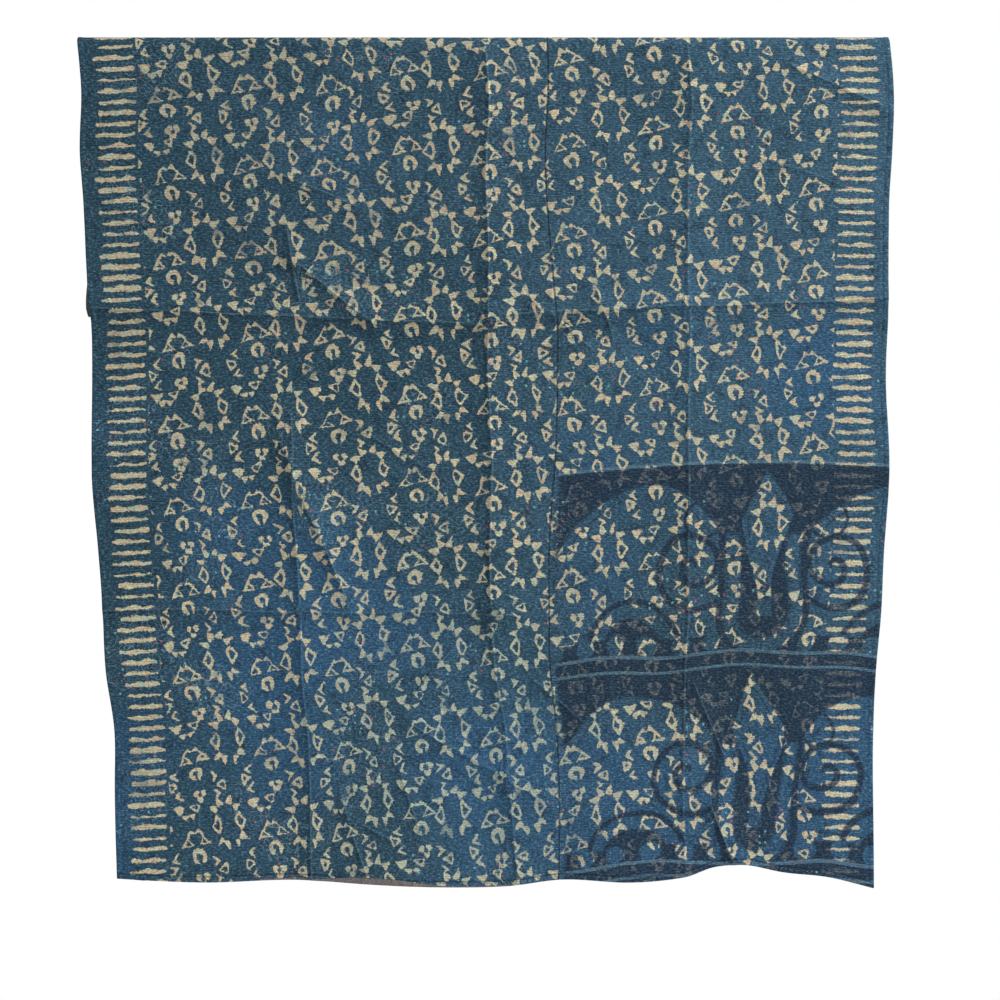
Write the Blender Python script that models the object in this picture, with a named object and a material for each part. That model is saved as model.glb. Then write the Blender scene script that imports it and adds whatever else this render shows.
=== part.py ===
"""Quilted cotton throw, hung folded over a straight round rail that isn't part of it.

Metres, +Z up. The origin is the middle of the line where the cloth bears on the top of the rail. The long
front drop faces -Y, the short back drop faces +Y, and +X is to the right as seen from the front. The throw
is one sheet: its printed face is laid out as a grid from the front hem, over the rail, to the back hem,
and a Solidify modifier gives it the thickness of face, backing and stitching together.
"""
from collections import namedtuple
import math

import bpy

# Driving sizes
WIDTH = 1.352
THICKNESS = 0.003
RAIL_RADIUS = 0.0125
FACE_RADIUS = RAIL_RADIUS + THICKNESS
TOP = THICKNESS
BACK_DROP = 0.465

# Grid of the sheet
ARC_STEPS = 8
BACK_STEPS = 11

# Columns across the sheet and rows down the front, closer together where a crease runs
Span = namedtuple("Span", "start end steps")
ACROSS = (
    Span(0.000, 0.235, 7),
    Span(0.235, 0.465, 6),
    Span(0.465, 0.625, 6),
    Span(0.625, 0.800, 5),
    Span(0.800, 1.000, 7),
)
DOWN_FRONT = (
    Span(0.000, 0.270, 6),
    Span(0.270, 0.390, 7),
    Span(0.390, 0.640, 7),
    Span(0.640, 0.730, 4),
    Span(0.730, 1.000, 11),
)

# Side edges of the front drop, as wavy as the selvedges really hang
Side = namedtuple("Side", "drop left right")
FRONT_SIDES = (
    Side(0.000, -0.676, 0.676),
    Side(0.090, -0.668, 0.683),
    Side(0.190, -0.671, 0.681),
    Side(0.275, -0.665, 0.676),
    Side(0.390, -0.659, 0.674),
    Side(0.447, -0.656, 0.674),
    Side(0.475, -0.652, 0.674),
    Side(0.573, -0.651, 0.671),
    Side(0.700, -0.651, 0.676),
    Side(0.756, -0.650, 0.675),
    Side(0.856, -0.641, 0.668),
    Side(0.956, -0.633, 0.663),
    Side(1.056, -0.628, 0.654),
    Side(1.155, -0.614, 0.650),
    Side(1.255, -0.613, 0.649),
    Side(1.420, -0.609, 0.651),
)

# Side edges of the back drop, whose lower left corner stands out a little past the front
BACK_SIDES = (
    Side(0.000, -0.676, 0.676),
    Side(0.190, -0.668, 0.674),
    Side(0.320, -0.660, 0.670),
    Side(0.385, -0.659, 0.669),
    Side(0.420, -0.6635, 0.669),
    Side(0.450, -0.6645, 0.668),
    Side(0.465, -0.661, 0.667),
)

# Front hem: how far it hangs below the top of the fold, at fractions of the width
Hem = namedtuple("Hem", "across drop")
FRONT_HEM = (
    Hem(0.00, 1.403),
    Hem(0.12, 1.409),
    Hem(0.24, 1.405),
    Hem(0.33, 1.412),
    Hem(0.42, 1.417),
    Hem(0.51, 1.416),
    Hem(0.59, 1.404),
    Hem(0.68, 1.409),
    Hem(0.75, 1.401),
    Hem(0.79, 1.384),
    Hem(0.83, 1.380),
    Hem(0.88, 1.392),
    Hem(0.94, 1.400),
    Hem(1.00, 1.419),
)

# Creases of the front drop: the quarter lines along which the throw was folded for storage, then soft drag
# folds. Each is a line from start to end, as fractions of the width and drops, with its height towards
# the viewer and how far it spreads to its right and left, seen along the line. A trough is below zero.
Crease = namedtuple("Crease", "across0 drop0 across1 drop1 height right left")
CREASES = (
    Crease(0.500, 0.000, 0.500, 0.960, 0.0045, 0.045, 0.100),
    Crease(0.500, 0.960, 0.530, 1.400, 0.0035, 0.045, 0.090),
    Crease(0.250, 0.640, 0.258, 1.400, 0.0040, 0.050, 0.080),
    Crease(0.750, 0.020, 0.752, 1.380, 0.0030, 0.050, 0.070),
    Crease(0.000, 0.452, 0.505, 0.480, 0.0050, 0.030, 0.060),
    Crease(0.520, 0.462, 1.000, 0.436, 0.0055, 0.030, 0.060),
    Crease(0.000, 0.955, 0.520, 0.962, 0.0045, 0.030, 0.060),
    Crease(0.265, 0.380, 0.350, 0.475, 0.0060, 0.035, 0.045),
    Crease(0.240, 0.690, 0.315, 0.940, 0.0045, 0.040, 0.050),
    Crease(0.250, 0.235, 0.330, 0.280, 0.0035, 0.035, 0.045),
    Crease(0.600, 0.490, 0.690, 0.515, -0.0030, 0.050, 0.070),
    Crease(0.880, 0.050, 0.980, 0.115, 0.0040, 0.035, 0.040),
    Crease(0.050, 1.395, 0.165, 1.320, 0.0045, 0.040, 0.050),
    Crease(0.400, 1.150, 0.560, 1.270, 0.0040, 0.040, 0.050),
    Crease(0.790, 1.290, 0.815, 1.384, 0.0060, 0.045, 0.060),
)
CREASE_RUNOUT = 0.060

# Broad set of the cloth: below the back hem the front settles back, and its hem and sides waver
SETTLE = 0.004
SETTLE_FROM = 0.46
SETTLE_OVER = 0.10
HEM_WAVE = 0.0035
HEM_WAVES_ACROSS = 3.5
HEM_WAVE_FROM = 0.70
SIDE_WAVE = 0.0025
SIDE_WAVES_PER_METRE = 3.2
SIDE_REACH = 0.10
BACK_WAVE = 0.002
BACK_WAVES_ACROSS = 2.5

COLOUR = (0.045, 0.095, 0.150, 1.0)
ROUGHNESS = 0.92


def smooth(value):
    """Ease from 0 to 1, flat at both ends."""
    value = min(max(value, 0.0), 1.0)
    return value * value * (3.0 - 2.0 * value)


def wave(turns):
    """Height of a unit wave after a number of turns."""
    return math.sin(2 * math.pi * turns)


def curve_through(rows, key, column, at):
    """Value of a table's column at a place along its key, on a curve that passes through every row."""
    keys = [getattr(row, key) for row in rows]
    values = [getattr(row, column) for row in rows]
    at = min(max(at, keys[0]), keys[-1])
    i = max(k for k in range(len(keys) - 1) if keys[k] <= at)
    span = keys[i + 1] - keys[i]
    before = max(i - 1, 0)
    after = min(i + 2, len(keys) - 1)
    slope_start = (values[i + 1] - values[before]) / (keys[i + 1] - keys[before])
    slope_end = (values[after] - values[i]) / (keys[after] - keys[i])
    u = (at - keys[i]) / span
    from_ends = values[i] * (1 - u) ** 2 * (1 + 2 * u) + values[i + 1] * u * u * (3 - 2 * u)
    from_slopes = span * u * (1 - u) * (slope_start * (1 - u) - slope_end * u)
    return from_ends + from_slopes


def stations(spans):
    """Fractions from 0 to 1, evenly spaced within each span."""
    places = [spans[0].start]
    for span in spans:
        for step in range(1, span.steps + 1):
            places.append(span.start + (span.end - span.start) * step / span.steps)
    return places


def crease_height(crease, across, drop):
    """How far one crease lifts the cloth at a point of the front drop."""
    run_x = (crease.across1 - crease.across0) * WIDTH
    run_down = crease.drop1 - crease.drop0
    length = math.hypot(run_x, run_down)
    from_x = (across - crease.across0) * WIDTH
    from_drop = drop - crease.drop0
    along = (from_x * run_x + from_drop * run_down) / length
    aside = (from_x * run_down - from_drop * run_x) / length
    spread = crease.left if aside > 0 else crease.right
    profile = 1.0 - smooth(abs(aside) / spread)
    run_in = smooth((along + CREASE_RUNOUT) / CREASE_RUNOUT)
    run_out = smooth((length + CREASE_RUNOUT - along) / CREASE_RUNOUT)
    return crease.height * profile * run_in * run_out


def front_relief(across, drop):
    """Distance that the front drop stands forward of its plumb plane."""
    near_rail = smooth(drop / (4 * FACE_RADIUS))
    lift = sum(crease_height(crease, across, drop) for crease in CREASES)
    lift -= SETTLE * smooth((drop - SETTLE_FROM) / SETTLE_OVER)
    lift += HEM_WAVE * smooth((drop - HEM_WAVE_FROM) / HEM_WAVE_FROM) * wave(HEM_WAVES_ACROSS * across)
    side = smooth(1.0 - min(across, 1.0 - across) * WIDTH / SIDE_REACH)
    lift += SIDE_WAVE * side * wave(SIDE_WAVES_PER_METRE * drop)
    return lift * near_rail


def front_point(across, down):
    """A point of the face on the front drop: down is 0 where the cloth leaves the rail and 1 at the hem."""
    hem = curve_through(FRONT_HEM, "across", "drop", across)
    drop = FACE_RADIUS + (hem - FACE_RADIUS) * down
    left = curve_through(FRONT_SIDES, "drop", "left", drop)
    right = curve_through(FRONT_SIDES, "drop", "right", drop)
    x = left + (right - left) * across
    return (x, -FACE_RADIUS - front_relief(across, drop), TOP - drop)


def rail_point(across, turn):
    """A point of the face on the rail: turn runs from 0 at the front to 1 at the back."""
    angle = math.pi * turn
    drop = FACE_RADIUS * (1.0 - math.sin(angle))
    sides = FRONT_SIDES if turn < 0.5 else BACK_SIDES
    left = curve_through(sides, "drop", "left", drop)
    right = curve_through(sides, "drop", "right", drop)
    return (left + (right - left) * across, -FACE_RADIUS * math.cos(angle), TOP - drop)


def back_point(across, down):
    """A point of the face on the back drop: down is 0 where the cloth leaves the rail and 1 at the hem."""
    drop = FACE_RADIUS + (BACK_DROP - FACE_RADIUS) * down
    left = curve_through(BACK_SIDES, "drop", "left", drop)
    right = curve_through(BACK_SIDES, "drop", "right", drop)
    lift = BACK_WAVE * smooth(down) * wave(BACK_WAVES_ACROSS * across)
    return (left + (right - left) * across, FACE_RADIUS + lift, TOP - drop)


def sheet_rows():
    """Rows of points of the printed face, from the front hem over the rail to the back hem."""
    across = stations(ACROSS)
    rows = [[front_point(u, down) for u in across] for down in reversed(stations(DOWN_FRONT))]
    rows += [[rail_point(u, step / ARC_STEPS) for u in across] for step in range(1, ARC_STEPS)]
    rows += [[back_point(u, step / BACK_STEPS) for u in across] for step in range(BACK_STEPS + 1)]
    return rows


def cloth_material():
    """Plain indigo cotton."""
    material = bpy.data.materials.new("indigo_cotton")
    material.use_nodes = True
    shader = material.node_tree.nodes["Principled BSDF"]
    shader.inputs["Base Color"].default_value = COLOUR
    shader.inputs["Roughness"].default_value = ROUGHNESS
    shader.inputs["Metallic"].default_value = 0.0
    return material


def make_throw():
    """The whole throw as one quilted sheet."""
    rows = sheet_rows()
    columns = len(rows[0])
    points = [point for row in rows for point in row]
    faces = []
    for i in range(len(rows) - 1):
        for j in range(columns - 1):
            corner = i * columns + j
            faces.append((corner, corner + 1, corner + columns + 1, corner + columns))
    mesh = bpy.data.meshes.new("throw")
    mesh.from_pydata(points, [], faces)
    mesh.materials.append(cloth_material())
    mesh.shade_smooth()
    throw = bpy.data.objects.new("throw", mesh)
    bpy.context.scene.collection.objects.link(throw)
    body = throw.modifiers.new("quilted thickness", "SOLIDIFY")
    body.thickness = THICKNESS
    body.offset = -1.0
    body.use_even_offset = False
    return throw


for old in list(bpy.data.objects):
    bpy.data.objects.remove(old)
make_throw()
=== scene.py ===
"""Looks of a quilted, over-dyed, block-printed cotton throw, hung folded over a rail that isn't shown.

The throw is one sheet with a printed face and a plain backing. The face carries a hand-stamped block, a
column of bars along each side, a panel with an older dark print under the newer one, and rows of running
stitch. The print is worked out in the cloth's own measure, which the mesh keeps as a UV map in metres: u
across from the left edge, v along, zero at the top of the fold and below zero on the front drop.
"""
from collections import namedtuple
import math

import bpy
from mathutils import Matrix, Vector, noise
import numpy as np


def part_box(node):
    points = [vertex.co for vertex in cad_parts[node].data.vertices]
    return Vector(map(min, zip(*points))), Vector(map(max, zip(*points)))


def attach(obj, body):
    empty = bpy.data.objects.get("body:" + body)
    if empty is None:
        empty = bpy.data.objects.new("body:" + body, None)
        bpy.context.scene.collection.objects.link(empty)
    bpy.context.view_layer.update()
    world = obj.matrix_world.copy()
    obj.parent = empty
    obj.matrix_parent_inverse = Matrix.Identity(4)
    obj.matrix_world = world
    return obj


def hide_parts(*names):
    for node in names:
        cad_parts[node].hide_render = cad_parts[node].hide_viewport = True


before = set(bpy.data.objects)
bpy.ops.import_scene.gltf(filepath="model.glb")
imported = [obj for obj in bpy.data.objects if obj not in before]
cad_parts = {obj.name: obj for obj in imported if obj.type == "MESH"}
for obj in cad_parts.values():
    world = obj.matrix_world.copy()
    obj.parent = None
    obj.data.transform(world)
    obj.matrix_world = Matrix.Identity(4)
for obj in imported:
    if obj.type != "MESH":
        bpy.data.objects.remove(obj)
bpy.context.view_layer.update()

low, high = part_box("throw")

# Sizes of the throw, in metres
TOP = high[2]
WIDTH = 1.352
THICKNESS = 0.003
RAIL_RADIUS = 0.0125
FACE_RADIUS = RAIL_RADIUS + THICKNESS
BACK_DROP = 0.465
FOLD_RUN = (math.pi / 2 - 1) * FACE_RADIUS

# Grid of the sheet, and the turned hems round its edge
GRID = 0.0082
ARC_STEPS = 14
HEM_STEPS = (0.0, 0.0012, 0.0030, 0.0055, 0.0078, 0.0090, 0.0105, 0.0135)
HEM_WIDTH = 0.0090
HEM_EASE = 0.25 * HEM_WIDTH
HEM_EXTRA = 0.0013
HEM_ROUND = 0.0011

# Places of the printed and the plain finish among the sheet's materials
PRINTED = 0
PLAIN = 1

# Puckers that the rows of stitching draw up all over the cloth, each layer's noise apart from the last's
PUCKER_APART = 7.3
Pucker = namedtuple("Pucker", "size height stretch")
PUCKERS = (
    Pucker(0.150, 0.0018, 0.7),
    Pucker(0.045, 0.0009, 0.6),
    Pucker(0.020, 0.0005, 0.5),
)

# Side edges of the front and back drops
Side = namedtuple("Side", "drop left right")
FRONT_SIDES = (
    Side(0.000, -0.676, 0.676),
    Side(0.090, -0.668, 0.683),
    Side(0.190, -0.671, 0.681),
    Side(0.275, -0.665, 0.676),
    Side(0.390, -0.659, 0.674),
    Side(0.447, -0.656, 0.674),
    Side(0.475, -0.652, 0.674),
    Side(0.573, -0.651, 0.671),
    Side(0.700, -0.651, 0.676),
    Side(0.756, -0.650, 0.675),
    Side(0.856, -0.641, 0.668),
    Side(0.956, -0.633, 0.663),
    Side(1.056, -0.628, 0.654),
    Side(1.155, -0.614, 0.650),
    Side(1.255, -0.613, 0.649),
    Side(1.420, -0.609, 0.651),
)
BACK_SIDES = (
    Side(0.000, -0.676, 0.676),
    Side(0.190, -0.668, 0.674),
    Side(0.320, -0.660, 0.670),
    Side(0.385, -0.659, 0.669),
    Side(0.420, -0.6635, 0.669),
    Side(0.450, -0.6645, 0.668),
    Side(0.465, -0.661, 0.667),
)

# Front hem: how far it hangs below the top of the fold, at fractions of the width
Hem = namedtuple("Hem", "across drop")
FRONT_HEM = (
    Hem(0.00, 1.403),
    Hem(0.12, 1.409),
    Hem(0.24, 1.405),
    Hem(0.33, 1.412),
    Hem(0.42, 1.417),
    Hem(0.51, 1.416),
    Hem(0.59, 1.404),
    Hem(0.68, 1.409),
    Hem(0.75, 1.401),
    Hem(0.79, 1.384),
    Hem(0.83, 1.380),
    Hem(0.88, 1.392),
    Hem(0.94, 1.400),
    Hem(1.00, 1.419),
)

# Creases of the front drop: storage folds along the quarter lines, then soft drag folds. Each is a line from
# start to end, as fractions of the width and drops, with its height and how far it spreads to its right and
# left, seen along the line. A trough is below zero.
Crease = namedtuple("Crease", "across0 drop0 across1 drop1 height right left")
CREASES = (
    Crease(0.500, 0.000, 0.500, 0.960, 0.0045, 0.045, 0.100),
    Crease(0.500, 0.960, 0.530, 1.400, 0.0035, 0.045, 0.090),
    Crease(0.250, 0.640, 0.258, 1.400, 0.0040, 0.050, 0.080),
    Crease(0.750, 0.020, 0.752, 1.380, 0.0030, 0.050, 0.070),
    Crease(0.000, 0.452, 0.505, 0.480, 0.0050, 0.030, 0.060),
    Crease(0.520, 0.462, 1.000, 0.436, 0.0055, 0.030, 0.060),
    Crease(0.000, 0.955, 0.520, 0.962, 0.0045, 0.030, 0.060),
    Crease(0.265, 0.380, 0.350, 0.475, 0.0060, 0.035, 0.045),
    Crease(0.240, 0.690, 0.315, 0.940, 0.0045, 0.040, 0.050),
    Crease(0.250, 0.235, 0.330, 0.280, 0.0035, 0.035, 0.045),
    Crease(0.600, 0.490, 0.690, 0.515, -0.0030, 0.050, 0.070),
    Crease(0.880, 0.050, 0.980, 0.115, 0.0040, 0.035, 0.040),
    Crease(0.050, 1.395, 0.165, 1.320, 0.0045, 0.040, 0.050),
    Crease(0.400, 1.150, 0.560, 1.270, 0.0040, 0.040, 0.050),
    Crease(0.790, 1.290, 0.815, 1.384, 0.0060, 0.045, 0.060),
)
CREASE_SHARP = 1.35
CREASE_RUNOUT = 0.060

# Small sharp wrinkles between the creases
WRINKLES = (
    Crease(0.268, 0.745, 0.300, 0.900, 0.0030, 0.020, 0.020),
    Crease(0.395, 1.105, 0.450, 1.020, 0.0040, 0.020, 0.020),
    Crease(0.430, 1.190, 0.505, 1.115, 0.0042, 0.020, 0.020),
    Crease(0.455, 1.290, 0.560, 1.225, 0.0034, 0.020, 0.020),
    Crease(0.375, 1.215, 0.405, 1.330, 0.0030, 0.020, 0.020),
    Crease(0.300, 1.270, 0.325, 1.385, 0.0046, 0.020, 0.020),
    Crease(0.322, 1.310, 0.372, 1.345, 0.0034, 0.020, 0.020),
    Crease(0.560, 1.075, 0.612, 1.135, 0.0036, 0.020, 0.020),
    Crease(0.585, 1.190, 0.640, 1.130, 0.0030, 0.020, 0.020),
    Crease(0.765, 1.080, 0.800, 1.190, 0.0034, 0.020, 0.020),
    Crease(0.560, 0.445, 0.625, 0.515, 0.0036, 0.020, 0.020),
    Crease(0.640, 0.430, 0.655, 0.500, 0.0030, 0.020, 0.020),
    Crease(0.252, 0.325, 0.262, 0.430, 0.0034, 0.020, 0.020),
    Crease(0.345, 0.660, 0.440, 0.735, 0.0024, 0.020, 0.020),
    Crease(0.120, 0.560, 0.210, 0.530, 0.0022, 0.020, 0.020),
    Crease(0.840, 0.200, 0.930, 0.240, 0.0024, 0.020, 0.020),
)
WRINKLE_SHARP = 0.80
WRINKLE_RUNOUT = 0.025

# The worn line on a crease: how fast it fades past the ends, the height from which it is full, and the
# distance that stands for no crease near
CREASE_TAPER = 0.020
CREASE_STRONG = 0.0060
NO_CREASE = 1.0

# Broad set of the cloth
SETTLE = 0.004
SETTLE_FROM = 0.46
SETTLE_OVER = 0.05
HEM_WAVE = 0.0035
HEM_WAVES_ACROSS = 3.5
HEM_WAVE_FROM = 0.70
SIDE_WAVE = 0.0025
SIDE_WAVES_PER_METRE = 3.2
SIDE_REACH = 0.10
BACK_WAVE = 0.002
BACK_WAVES_ACROSS = 2.5

# Sewing thread: the grid row that the hems are sewn along, how far right of the seam its stitches are, in
# millimetres, and where the loose ends hang: x and z on the front, then places to the right, off the cloth
# and down
HEM_SEWN = 3
SEAM_SEWN = 2.6
THREAD_LIFT = 0.0002
STITCH_SEED = 7
HEM_STITCH = {"Pitch": 0.0072, "Stitch": 0.0038, "Thread": 0.00042, "Slip": 0.0005}
SEAM_STITCH = {"Pitch": 0.0060, "Stitch": 0.0032, "Thread": 0.00036, "Slip": 0.0004}
LOOSE_THREAD = 0.00035
LooseEnd = namedtuple("LooseEnd", "x z bends")
LOOSE_ENDS = (
    LooseEnd(0.043, -0.588, ((0.001, 0.002, 0.004), (-0.003, 0.004, 0.010), (0.002, 0.003, 0.018))),
    LooseEnd(0.024, -1.372, ((-0.002, 0.003, 0.006), (0.004, 0.005, 0.014), (-0.001, 0.004, 0.024),
                             (0.006, 0.003, 0.032))),
    LooseEnd(-0.262, -0.771, ((0.004, 0.002, 0.002), (0.009, 0.004, 0.006), (0.013, 0.003, 0.003))),
)

FLOAT = "NodeSocketFloat"
VECTOR = "NodeSocketVector"
COLOUR = "NodeSocketColor"
GEOMETRY = "NodeSocketGeometry"
MM = 1000.0


# Shape of the hung sheet

def smooth(value):
    """Ease from 0 to 1, flat at both ends."""
    value = min(max(value, 0.0), 1.0)
    return value * value * (3.0 - 2.0 * value)


def wave(turns):
    """Height of a unit wave after a number of turns."""
    return math.sin(2 * math.pi * turns)


def curve_through(rows, key, column, at):
    """Value of a table's column at a place along its key, on a curve that passes through every row."""
    keys = [getattr(row, key) for row in rows]
    values = [getattr(row, column) for row in rows]
    at = min(max(at, keys[0]), keys[-1])
    i = max(k for k in range(len(keys) - 1) if keys[k] <= at)
    span = keys[i + 1] - keys[i]
    before = max(i - 1, 0)
    after = min(i + 2, len(keys) - 1)
    slope_start = (values[i + 1] - values[before]) / (keys[i + 1] - keys[before])
    slope_end = (values[after] - values[i]) / (keys[after] - keys[i])
    u = (at - keys[i]) / span
    from_ends = values[i] * (1 - u) ** 2 * (1 + 2 * u) + values[i + 1] * u * u * (3 - 2 * u)
    from_slopes = span * u * (1 - u) * (slope_start * (1 - u) - slope_end * u)
    return from_ends + from_slopes


def along_crease(crease, across, drop):
    """How far a point of the front drop is along a crease and to its left, and the crease's length."""
    run_x = (crease.across1 - crease.across0) * WIDTH
    run_down = crease.drop1 - crease.drop0
    length = math.hypot(run_x, run_down)
    from_x = (across - crease.across0) * WIDTH
    from_drop = drop - crease.drop0
    along = (from_x * run_x + from_drop * run_down) / length
    aside = (from_x * run_down - from_drop * run_x) / length
    return along, aside, length


def crease_height(crease, across, drop, sharp, runout):
    """How far one crease lifts the cloth at a point of the front drop."""
    along, aside, length = along_crease(crease, across, drop)
    spread = crease.left if aside > 0 else crease.right
    profile = max(1.0 - abs(aside) / spread, 0.0) ** 2
    run_in = smooth((along + runout) / runout)
    run_out = smooth((length + runout - along) / runout)
    return sharp * crease.height * profile * run_in * run_out


def nearest_crease(across, drop):
    """Signed distance to the nearest crease, above zero on its left, and how strong it is there, 0 to 1."""
    nearest = (NO_CREASE, 0.0)
    for crease in CREASES + WRINKLES:
        along, aside, length = along_crease(crease, across, drop)
        ends = smooth(1.0 + along / CREASE_TAPER) * smooth(1.0 + (length - along) / CREASE_TAPER)
        strength = ends * min(crease.height / CREASE_STRONG, 1.0)
        if strength > 0.0 and abs(aside) < abs(nearest[0]):
            nearest = (aside, strength)
    return nearest


def pucker_height(across, run):
    """Small unevenness that the stitching draws up, the same on face and backing."""
    lift = 0.0
    for layer, pucker in enumerate(PUCKERS):
        place = Vector((across * WIDTH * pucker.stretch, run, layer * PUCKER_APART)) / pucker.size
        lift += pucker.height * noise.noise(place)
    return lift


def clear_of_rail(drop):
    """Ease from 0 at the top of the fold to 1 where the rail no longer holds the cloth taut."""
    return smooth(drop / (4 * FACE_RADIUS))


def front_relief(across, drop):
    """Distance that the front drop stands forward of its plumb plane."""
    lift = sum(crease_height(crease, across, drop, CREASE_SHARP, CREASE_RUNOUT) for crease in CREASES)
    lift += sum(crease_height(crease, across, drop, WRINKLE_SHARP, WRINKLE_RUNOUT) for crease in WRINKLES)
    lift -= SETTLE * smooth((drop - SETTLE_FROM) / SETTLE_OVER)
    lift += HEM_WAVE * smooth((drop - HEM_WAVE_FROM) / HEM_WAVE_FROM) * wave(HEM_WAVES_ACROSS * across)
    side = smooth(1.0 - min(across, 1.0 - across) * WIDTH / SIDE_REACH)
    lift += SIDE_WAVE * side * wave(SIDE_WAVES_PER_METRE * drop)
    return (lift + pucker_height(across, -drop)) * clear_of_rail(drop)


def side_edges(sides, drop):
    """Left and right edge of a drop at one height."""
    return curve_through(sides, "drop", "left", drop), curve_through(sides, "drop", "right", drop)


def front_point(across, down):
    """A point of the face on the front drop, and its v: down is 0 below the rail and 1 at the hem."""
    hem = curve_through(FRONT_HEM, "across", "drop", across)
    drop = FACE_RADIUS + (hem - FACE_RADIUS) * down
    left, right = side_edges(FRONT_SIDES, drop)
    x = left + (right - left) * across
    return (x, -FACE_RADIUS - front_relief(across, drop), TOP - drop), -drop - FOLD_RUN


def rail_point(across, turn):
    """A point of the face on the rail, and its v: turn runs from 0 at the front to 1 at the back."""
    angle = math.pi * turn
    drop = FACE_RADIUS * (1.0 - math.sin(angle))
    left, right = side_edges(FRONT_SIDES if turn < 0.5 else BACK_SIDES, drop)
    place = (left + (right - left) * across, -FACE_RADIUS * math.cos(angle), TOP - drop)
    return place, (angle - math.pi / 2) * FACE_RADIUS


def back_point(across, down):
    """A point of the face on the back drop, and its v: down is 0 below the rail and 1 at the hem."""
    drop = FACE_RADIUS + (BACK_DROP - FACE_RADIUS) * down
    left, right = side_edges(BACK_SIDES, drop)
    lift = BACK_WAVE * smooth(down) * wave(BACK_WAVES_ACROSS * across)
    lift += pucker_height(across, drop) * clear_of_rail(drop)
    return (left + (right - left) * across, FACE_RADIUS + lift, TOP - drop), drop + FOLD_RUN


def hemmed_places(length, both_ends):
    """Distances along an edge-to-edge run: close together at the hems, even between them."""
    start = list(HEM_STEPS)
    end = [length - step for step in reversed(HEM_STEPS)] if both_ends else [length]
    steps = round((end[0] - start[-1]) / GRID)
    between = [start[-1] + (end[0] - start[-1]) * k / steps for k in range(1, steps)]
    return start + between + end


def sheet_grid():
    """Points of the printed face from the front hem over the rail to the back hem, with u and v."""
    across = [place / WIDTH for place in hemmed_places(WIDTH, True)]
    front_run = FRONT_HEM[0].drop - FACE_RADIUS
    back_run = BACK_DROP - FACE_RADIUS
    rows = []
    for place in hemmed_places(front_run, False):
        rows.append([front_point(u, 1.0 - place / front_run) for u in across])
    for step in range(1, ARC_STEPS):
        rows.append([rail_point(u, step / ARC_STEPS) for u in across])
    for place in reversed(hemmed_places(back_run, False)):
        rows.append([back_point(u, 1.0 - place / back_run) for u in across])
    points = np.array([[place for place, run in row] for row in rows])
    runs = np.array([[run for place, run in row] for row in rows])
    return points, np.array(across) * WIDTH, runs


def facings(points):
    """Unit normals of the grid, pointing out of the printed face."""
    down_rows = np.gradient(points, axis=0)
    along_columns = np.gradient(points, axis=1)
    normals = np.cross(along_columns, down_rows)
    return normals / np.linalg.norm(normals, axis=2, keepdims=True)


def edge_distances(across, runs):
    """How far each grid point is from the nearest edge of the cloth, and from the front hem."""
    from_sides = np.minimum(across, WIDTH - across)[None, :]
    from_front = runs - runs[0][None, :]
    from_back = runs[-1][None, :] - runs
    nearest = np.minimum(from_sides, np.abs(np.minimum(from_front, from_back)))
    return nearest, from_front


def border_of(count, width):
    """Rows and columns of the grid's border points, once round."""
    border = [(0, j) for j in range(width)] + [(i, width - 1) for i in range(1, count)]
    border += [(count - 1, j) for j in range(width - 2, -1, -1)] + [(i, 0) for i in range(count - 2, 0, -1)]
    return border


def rim_points(centre, border):
    """Points just outside the border, which round the rim."""
    count, width = centre.shape[:2]
    rim = []
    for i, j in border:
        inner = centre[min(max(i, 1), count - 2), min(max(j, 1), width - 2)]
        outward = centre[i, j] - inner
        rim.append(centre[i, j] + outward / np.linalg.norm(outward) * HEM_ROUND)
    return np.array(rim)


def sheet_faces(count, width, border):
    """Faces of the printed side, the backing and the rim, and which finish each has."""
    total = count * width
    faces = []
    for i in range(count - 1):
        for j in range(width - 1):
            corner = i * width + j
            quad = (corner, corner + 1, corner + width + 1, corner + width)
            faces.append(quad)
            faces.append(tuple(total + k for k in reversed(quad)))
    for k, (i, j) in enumerate(border):
        after = (k + 1) % len(border)
        here = i * width + j
        there = border[after][0] * width + border[after][1]
        faces.append((there, here, 2 * total + k, 2 * total + after))
        faces.append((2 * total + after, 2 * total + k, total + here, total + there))
    return faces, [PRINTED, PLAIN] * (len(faces) // 2)


def crease_measures(points, across):
    """Signed distance to the nearest crease and its strength at each grid point, none behind the fold."""
    aside = np.full(points.shape[:2], NO_CREASE)
    strength = np.zeros(points.shape[:2])
    for i, j in np.argwhere(points[..., 1] < 0.0):
        aside[i, j], strength[i, j] = nearest_crease(across[j] / WIDTH, TOP - points[i, j, 2])
    return aside, strength


def keep_measure(mesh, name, first, second, border):
    """Keeps two values of the grid's points as a UV map, for the printed side, the backing and the rim."""
    corners = np.empty(len(mesh.loops), dtype=np.int32)
    mesh.loops.foreach_get("vertex_index", corners)
    rows, columns = np.array(border).T
    values = []
    for grid in (first, second):
        everywhere = np.concatenate((grid.reshape(-1), grid.reshape(-1), grid[rows, columns]))
        values.append(everywhere[corners])
    layer = mesh.uv_layers.new(name=name)
    layer.data.foreach_set("uv", np.stack(values, axis=1).reshape(-1))


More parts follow.
